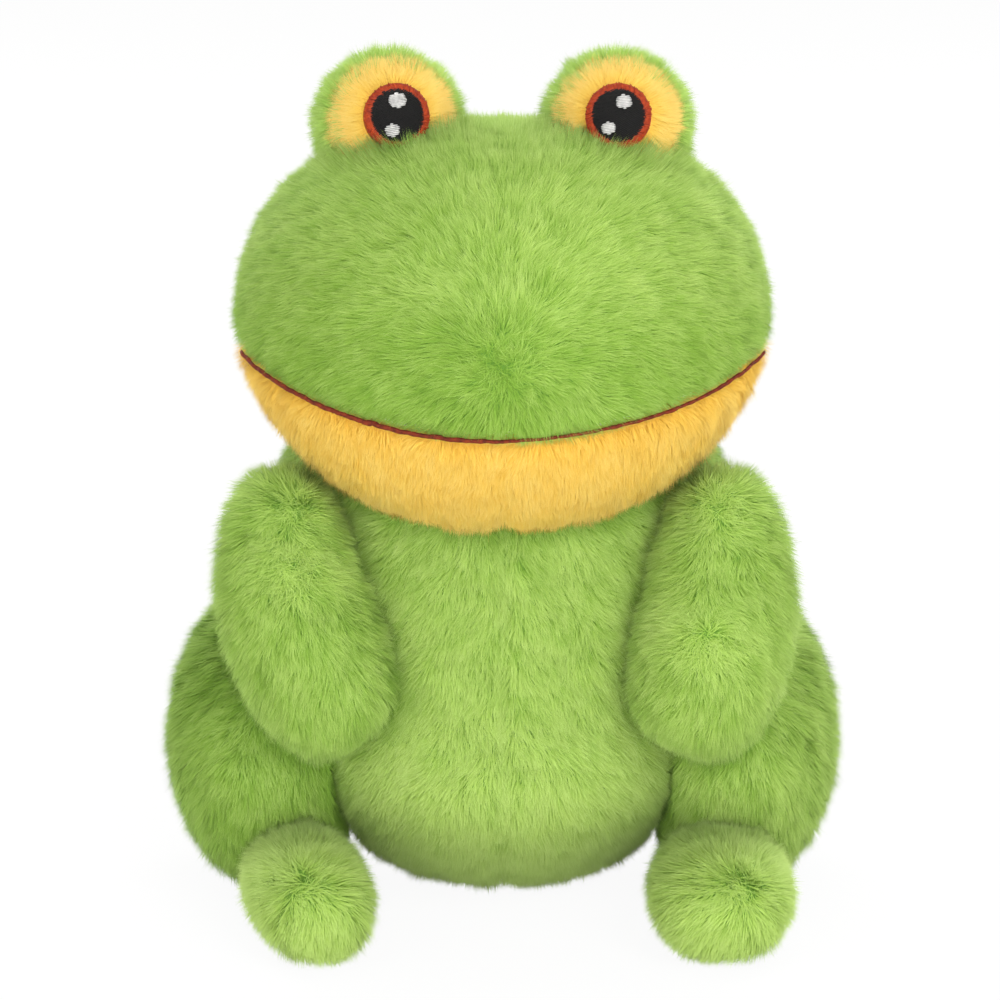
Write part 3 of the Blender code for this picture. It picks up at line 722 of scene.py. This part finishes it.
for side, s in SIDES:
    half = (lambda p, s=s: p[:, 0] * s > 0)
    pile(f"head_pile_{side}", "head", green_pile, skins["head"], head_nap, 5.8,
         keep=half, limit=lip, whorls=[SNOUT], shade=head_painted_shade_and_light, brush=brow)
    # The chin's pile is a little darker all over, and painted darker within 8 mm under the mouth seam:
    # painted shade under the upper lip.
    pile(f"chin_pile_{side}", "head", yellow_pile, skins["chin"],
         sources([], 1.0, 0.002), 5.6, density=11.0, keep=half, lift=0.9,
         shade=lambda p: -0.10 - 0.25 * smooth_step(8.0, 1.0, mouth_height(p[:, 0], p[:, 1]) - p[:, 2]))
    for place, fore in (("front", True), ("back", False)):
        keep = (lambda p, s=s, fore=fore: (p[:, 0] * s > 0) & ((p[:, 1] < TORSO_Y + 6.0) == fore))
        pile(f"torso_pile_{place}_{side}", "torso", green_pile, skins["torso"],
             sources([], 1.0, 0.016), 6.4, density=DENSE if fore else THIN, keep=keep,
             shade=belly_painted_light)
    shoulder = (s * 55.0, TORSO_Y - 43.0, 117.5)
    wrist = (s * 54.0, TORSO_Y - 57.0, 81.0) if s > 0 else (s * 55.0, TORSO_Y - 53.0, 100.0)
    spots = [(shoulder, 12.0), (wrist, 10.0 if s > 0 else 3.0)]
    middle_y = TORSO_Y - 39.0
    # The arm on the frog's right, away from the key light, is painted darker: painted shade.
    for place, fore in (("front", True), ("back", False)):
        keep = (lambda p, fore=fore: (p[:, 1] < middle_y) == fore)
        pile(f"arm_{side}_pile_{place}", "arm_" + side, green_pile,
             skins["arm_" + side], sources(spots, 0.8), 6.6, density=DENSE if fore else THIN,
             keep=keep, whorls=[spot for spot, _ in spots], shade=even(-0.10 if s < 0 else -0.02))
    knee = (s * 62.0, TORSO_Y + 7.0, 85.0)
    # The leg on the frog's right is painted darker, away from the key light, and the left a little paler:
    # painted shade and painted light.
    for place, outer in (("outer", True), ("inner", False)):
        keep = (lambda p, s=s, outer=outer: (p[:, 0] * s > 63.0) == outer)
        pile(f"leg_{side}_pile_{place}", "leg_" + side, green_pile,
             skins["leg_" + side], sources([(knee, 10.0)], 0.8), 6.8,
             density=DENSE if outer else THIN, keep=keep,
             shade=even(-0.24 if s < 0 else 0.04))
    toe = (s * 64.4 if s > 0 else s * 53.5, TORSO_Y - 76.0, 22.0)
    # The feet's pile is painted much paler, the right one most, with less crevice shade: painted light.
    pile(f"foot_{side}_pile", "leg_" + side, green_pile, skins["foot_" + side],
         sources([(toe, 16.0)], 0.45), 6.4, crevice_painted_shade=0.25, lift=0.85, whorls=[toe],
         shade=even(0.60 if s < 0 else 0.46))
    eye = np.array((s * EYE_SPREAD, EYE_Y, EYE_Z))
    look = looks[side]
    from_middle = (lambda p, eye=eye, look=look: np.linalg.norm(np.cross(p - eye, look), axis=1))
    clear = (lambda p, off=from_middle: off(p) > 8.4)
    pile(f"eye_patch_{side}_pile", "head", yellow_pile, skins["patch_" + side],
         sources([(eye + look * EYE_RADIUS, 10.0)], 0.0), 5.0, density=19.0, width=0.17, keep=clear,
         lift=0.8, variety=0.3, shade=even(0.36))
    fringe = (lambda p, eye=eye, off=from_middle: (off(p) > 12.4) &
              ((p - eye) @ np.array([-0.55, -0.25, 0.80]) > 4.0))
    pile(f"eye_mound_{side}_fringe", "head", green_pile, skins["patch_" + side],
         sources([(eye + look * EYE_RADIUS, 10.0)], 0.0), 4.6, density=4.5, keep=fringe, lift=1.2,
         shade=even(0.3))
    pile(f"eye_mound_{side}_pile", "head", green_pile, skins["mound_" + side],
         sources([(eye + look * EYE_RADIUS, 10.0)], 0.1), 6.0, density=11.0)


# The backings ride and stand for the frame's covers
COVERS = {
    "torso": ["torso_cover_front_left", "torso_cover_front_right", "torso_cover_back_left",
              "torso_cover_back_right"],
    "head": ["head_cover_left", "head_cover_right"],
    "chin": ["chin_cover_left", "chin_cover_right"],
}
for side, s in SIDES:
    COVERS["arm_" + side] = [f"arm_cover_{side}_front", f"arm_cover_{side}_back"]
    COVERS["leg_" + side] = [f"leg_cover_{side}_outer", f"leg_cover_{side}_inner"]
    COVERS["foot_" + side] = ["foot_cover_" + side]
    COVERS["patch_" + side] = ["eye_patch_" + side]
    COVERS["mound_" + side] = ["eye_mound_" + side]
for name, obj in backings.items():
    yellow = name.startswith(("chin", "patch"))
    obj.data.materials.append(yellow_backing if yellow else green_backing)
    pick(obj)
    bpy.ops.object.shade_smooth()
    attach(obj, RIDES[name])
    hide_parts(*COVERS[name])


# Embroidery: every stitch is a small arched bead of thread laid from end to end
def stitch_mesh(name, material, stitches):
    """Stitches as rows of start, end, outward way, width and height, in millimetres."""
    starts, ends, outs, widths, heights = (np.array(k, float) for k in zip(*stitches))
    stations = np.array([0.0, 0.12, 0.5, 0.88, 1.0])
    fullness = np.array([0.15, 0.75, 1.0, 0.75, 0.15])
    along = unit(ends - starts)
    across = unit(np.cross(outs, along))
    rings = []
    for at, full in zip(stations, fullness):
        middle = starts * (1 - at) + ends * at
        rise = outs * (heights * full)[:, None]
        half = across * (widths / 2 * (0.4 + 0.6 * full))[:, None]
        rings.append(np.stack([middle - half, middle - half * 0.6 + rise * 0.8, middle + rise,
                               middle + half * 0.6 + rise * 0.8, middle + half,
                               middle - outs * 0.1], axis=1))
    points = np.stack(rings, axis=1)
    faces = []
    for station in range(4):
        for k in range(6):
            low, high = station * 6, station * 6 + 6
            faces.append((low + k, low + (k + 1) % 6, high + (k + 1) % 6, high + k))
    caps = [tuple(range(5, -1, -1)), tuple(range(24, 30))]
    every = []
    for index in range(len(starts)):
        base = index * 30
        every += [tuple(base + v for v in face) for face in faces + caps]
    made = bpy.data.meshes.new(name)
    made.from_pydata((points * MM).reshape(-1, 3).tolist(), [], every)
    obj = bpy.data.objects.new(name, made)
    bpy.context.scene.collection.objects.link(obj)
    made.materials.append(material)
    pick(obj)
    bpy.ops.object.mode_set(mode="EDIT")
    bpy.ops.mesh.select_all(action="SELECT")
    bpy.ops.mesh.normals_make_consistent(inside=False)
    bpy.ops.object.mode_set(mode="OBJECT")
    bpy.ops.object.shade_smooth()
    return obj


def on_ball(eye, axes, radius, a, b):
    """A point on a ball about the eye, a and b millimetres across and up from where it looks."""
    across, up, look = axes
    flat = across * a + up * b
    return eye + flat + look * math.sqrt(radius**2 - a * a - b * b)


def add_pad(name, eye, look, disc, radius, material):
    """The padded disc under the stitches: a domed plug cut from a ball."""
    dome = ball(name, egg(eye, radius, radius, radius, radius), 0.0, 64, 48)
    turn = Vector(look).to_track_quat("Z", "Y")
    bpy.ops.object.select_all(action="DESELECT")
    bpy.ops.mesh.primitive_cylinder_add(vertices=64, radius=disc * MM, depth=14.0 * MM, calc_uvs=False,
                                        location=(eye + look * 20.2) * MM)
    plug = bpy.context.active_object
    plug.rotation_mode = "QUATERNION"
    plug.rotation_quaternion = turn
    bpy.context.view_layer.update()
    cut(dome, plug, "INTERSECT")
    dome.data.materials.clear()
    dome.data.materials.append(material)
    pick(dome)
    bpy.ops.object.shade_smooth_by_angle(angle=math.radians(40))
    return dome


def sew(name, node, material, stitches, pad=None):
    obj = stitch_mesh(name, material, stitches)
    if pad:
        bpy.ops.object.select_all(action="DESELECT")
        pad.select_set(True)
        obj.select_set(True)
        bpy.context.view_layer.objects.active = obj
        bpy.ops.object.join()
    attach(obj, "head")
    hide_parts(node)


IRIS_RADIUS = 8.7
PUPIL_RADIUS = 7.1
THREAD = 0.42
IRIS_FACE = 20.2
GLINTS = {"left": ((1.4, 3.5, 2.1, 1.8), (-2.7, -3.5, 1.8, 1.5)),
          "right": ((0.1, 3.8, 2.3, 1.9), (-1.6, -4.1, 1.9, 1.6))}
for side, s in SIDES:
    eye = np.array((s * EYE_SPREAD, EYE_Y, EYE_Z))
    look = looks[side]
    across = unit(np.cross((0.0, 0.0, 1.0), look))
    axes = (across, np.cross(look, across), look)
    pad = add_pad(f"iris_pad_{side}", eye, look, IRIS_RADIUS, IRIS_FACE, red_thread)
    stitches = []
    turns = int(2 * math.pi * IRIS_RADIUS / THREAD)
    for k in range(turns):
        angle = 2 * math.pi * (k + random.uniform(-0.2, 0.2)) / turns
        low, high = PUPIL_RADIUS - random.uniform(0.2, 0.9), IRIS_RADIUS + random.uniform(-0.3, 0.35)
        slant = 0.10
        stitches.append((
            on_ball(eye, axes, IRIS_FACE, low * math.cos(angle), low * math.sin(angle)),
            on_ball(eye, axes, IRIS_FACE, high * math.cos(angle + slant), high * math.sin(angle + slant)),
            unit(on_ball(eye, axes, IRIS_FACE, 7.7 * math.cos(angle), 7.7 * math.sin(angle)) - eye),
            0.55, 0.34 * random.uniform(0.8, 1.2),
        ))
    sew(f"iris_stitching_{side}", f"iris_ring_{side}", red_thread, stitches, pad)

    def rows(centre_a, centre_b, half_width, half_height, tilt, radius, run, height, squareness):
        """Satin rows over an oval or a rounded square, in runs laid like bricks."""
        made = []
        count = int(2 * half_height / THREAD)
        for row in range(count + 1):
            b = -half_height + row * 2 * half_height / count
            reach = half_width * max(0.0, 1 - abs(b / half_height) ** squareness) ** (1 / squareness)
            reach = max(reach, 0.5) + random.uniform(-0.15, 0.15)
            a = -reach + (0 if row % 2 else -run / 2)
            while a < reach:
                low, high = max(a, -reach), min(a + run, reach)
                if high - low > 0.3:
                    ends = []
                    for x in (low, high):
                        ends.append(on_ball(eye, axes, radius,
                                            centre_a + x * math.cos(tilt) - b * math.sin(tilt),
                                            centre_b + x * math.sin(tilt) + b * math.cos(tilt)))
                    made.append((ends[0], ends[1], unit((ends[0] + ends[1]) / 2 - eye), 0.5,
                                 height * random.uniform(0.8, 1.15)))
                a += run
        return made

    pad = add_pad(f"pupil_pad_{side}", eye, look, PUPIL_RADIUS, IRIS_FACE + 0.15, black_thread)
    stitches = rows(0.0, 0.0, PUPIL_RADIUS, PUPIL_RADIUS, 0.5, IRIS_FACE + 0.15, 3.4, 0.30, 2.0)
    sew(f"pupil_stitching_{side}", f"pupil_{side}", black_thread, stitches, pad)
    for place, (a, b, half_width, half_height) in zip(("upper", "lower"), GLINTS[side]):
        stitches = rows(a, b, half_width, half_height, 0.12, IRIS_FACE + 0.42, 9.0, 0.38, 3.0)
        sew(f"glint_{place}_stitching_{side}", f"glint_{place}_{side}", pale_thread,
            stitches)


def mouth_point(angle, grow):
    """The mouth seam's point on the head at an angle from straight ahead."""
    low, high = -1.0, 1.0
    for _ in range(30):
        height = (low + high) / 2
        ring = math.sqrt(1 - height**2)
        spot = head_form(np.array([[ring * math.sin(angle), -ring * math.cos(angle), height]]), grow)[0]
        if spot[2] > mouth_height(spot[0], spot[1]):
            high = height
        else:
            low = height
    return spot


MOUTH_HALF_ANGLE = math.radians(74.0)
MOUTH_PROUD = 2.5
MOUTH_THREAD_HEIGHT = 0.7
stations = 90
line = []
for k in range(stations + 1):
    share = 2 * k / stations - 1
    sunk = math.exp(-(((share - 0.28) / 0.24) ** 2))
    line.append(mouth_point(MOUTH_HALF_ANGLE * share, MOUTH_PROUD - 1.9 * sunk))
stitches = []
for k in range(stations - 1):
    start, end = line[k] + random.normal(0, 0.1, 3), line[k + 2] + random.normal(0, 0.1, 3)
    out = unit((start + end) / 2 - np.array(HEAD_CENTRE))
    width = random.uniform(1.2, 1.7) if k < 42 else random.uniform(0.8, 1.2)
    stitches.append((start, end, out, width, MOUTH_THREAD_HEIGHT))
sew("mouth_stitching", "mouth_line", brown_thread, stitches)

# What the covers hold: fibre cores and the pouch of pellets
for name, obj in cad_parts.items():
    if "stuffing" in name or name == "pellet_pouch":
        obj.data.materials.clear()
        obj.data.materials.append(calico if name == "pellet_pouch" else wadding)

# Stage
white = linear("#FFFFFF")


def glowing(tree, share_seen):
    """Lets the camera, gloss and glass see a share of plain white in place of the lit surface."""
    path = add(tree, "LightPath")
    seen = add(tree, "Math", operation="MAXIMUM")
    tree.links.new(path.outputs["Is Camera Ray"], seen.inputs[0])
    tree.links.new(path.outputs["Is Glossy Ray"], seen.inputs[1])
    clear = add(tree, "Math", operation="MAXIMUM")
    tree.links.new(seen.outputs[0], clear.inputs[0])
    tree.links.new(path.outputs["Is Transmission Ray"], clear.inputs[1])
    share = add(tree, "Math", operation="MULTIPLY")
    tree.links.new(clear.outputs[0], share.inputs[0])
    share.inputs[1].default_value = share_seen
    return share.outputs[0]


bpy.ops.mesh.primitive_circle_add(vertices=96, radius=8.0, fill_type="NGON", location=(0, 0, 0))
floor = bpy.context.active_object
floor.name = "studio_floor"
paper, tree, shader = new_material("white studio paper")
shader.inputs["Base Color"].default_value = linear("#F4F4F2")
shader.inputs["Roughness"].default_value = 0.9
glow = add(tree, "Emission", Color=white, Strength=1.0)
mixed = add(tree, "MixShader")
tree.links.new(glowing(tree, 0.94), mixed.inputs[0])
tree.links.new(shader.outputs[0], mixed.inputs[1])
tree.links.new(glow.outputs[0], mixed.inputs[2])
tree.links.new(mixed.outputs[0], tree.nodes["Material Output"].inputs["Surface"])
floor.data.materials.append(paper)

world = bpy.data.worlds.new("studio")
bpy.context.scene.world = world
world.use_nodes = True
tree = world.node_tree
ambient = tree.nodes["Background"]
ambient.inputs["Color"].default_value = white
ambient.inputs["Strength"].default_value = 0.54
backdrop = add(tree, "Background", Color=white, Strength=1.0)
mixed = add(tree, "MixShader")
tree.links.new(glowing(tree, 1.0), mixed.inputs[0])
tree.links.new(ambient.outputs[0], mixed.inputs[1])
tree.links.new(backdrop.outputs[0], mixed.inputs[2])
tree.links.new(mixed.outputs[0], tree.nodes["World Output"].inputs["Surface"])


def soft_box(name, place, size, power):
    made = bpy.data.lights.new(name, "AREA")
    made.shape = "DISK"
    made.size = size
    made.energy = power
    obj = bpy.data.objects.new(name, made)
    bpy.context.scene.collection.objects.link(obj)
    obj.location = place
    obj.rotation_euler = (Vector((0, 0, 0.11)) - Vector(place)).to_track_quat("-Z", "Y").to_euler()


for name, place, size, power in (
    ("key", (0.7, -1.1, 0.9), 0.9, 12.2),
    ("fill", (-1.0, -1.0, 0.6), 0.9, 5.2),
    ("front", (0.1, -1.5, 0.2), 0.9, 8.5),
    ("bounce", (0.0, -0.75, 0.04), 0.5, 2.0),
    ("top", (0.0, 0.3, 1.4), 0.8, 4.6),
    ("back_left", (0.9, 1.2, 0.7), 0.8, 10.0),
    ("back_right", (-0.9, 1.2, 0.7), 0.8, 10.0),
):
    soft_box(name, place, size, power)

CAMERA_X = -0.000675
camera = bpy.data.objects.new("camera", bpy.data.cameras.new("camera"))
bpy.context.scene.collection.objects.link(camera)
camera.location = (CAMERA_X, (TORSO_Y - 1233.2) * MM, 0.4131)
target = Vector((CAMERA_X, (TORSO_Y - 20.3) * MM, 0.1107))
camera.rotation_euler = (target - camera.location).to_track_quat("-Z", "Y").to_euler()
camera.data.sensor_width = 36.0
camera.data.lens = 166.67
camera.data.clip_start = 0.05
bpy.context.scene.camera = camera
bpy.context.scene.view_settings.view_transform = "Standard"
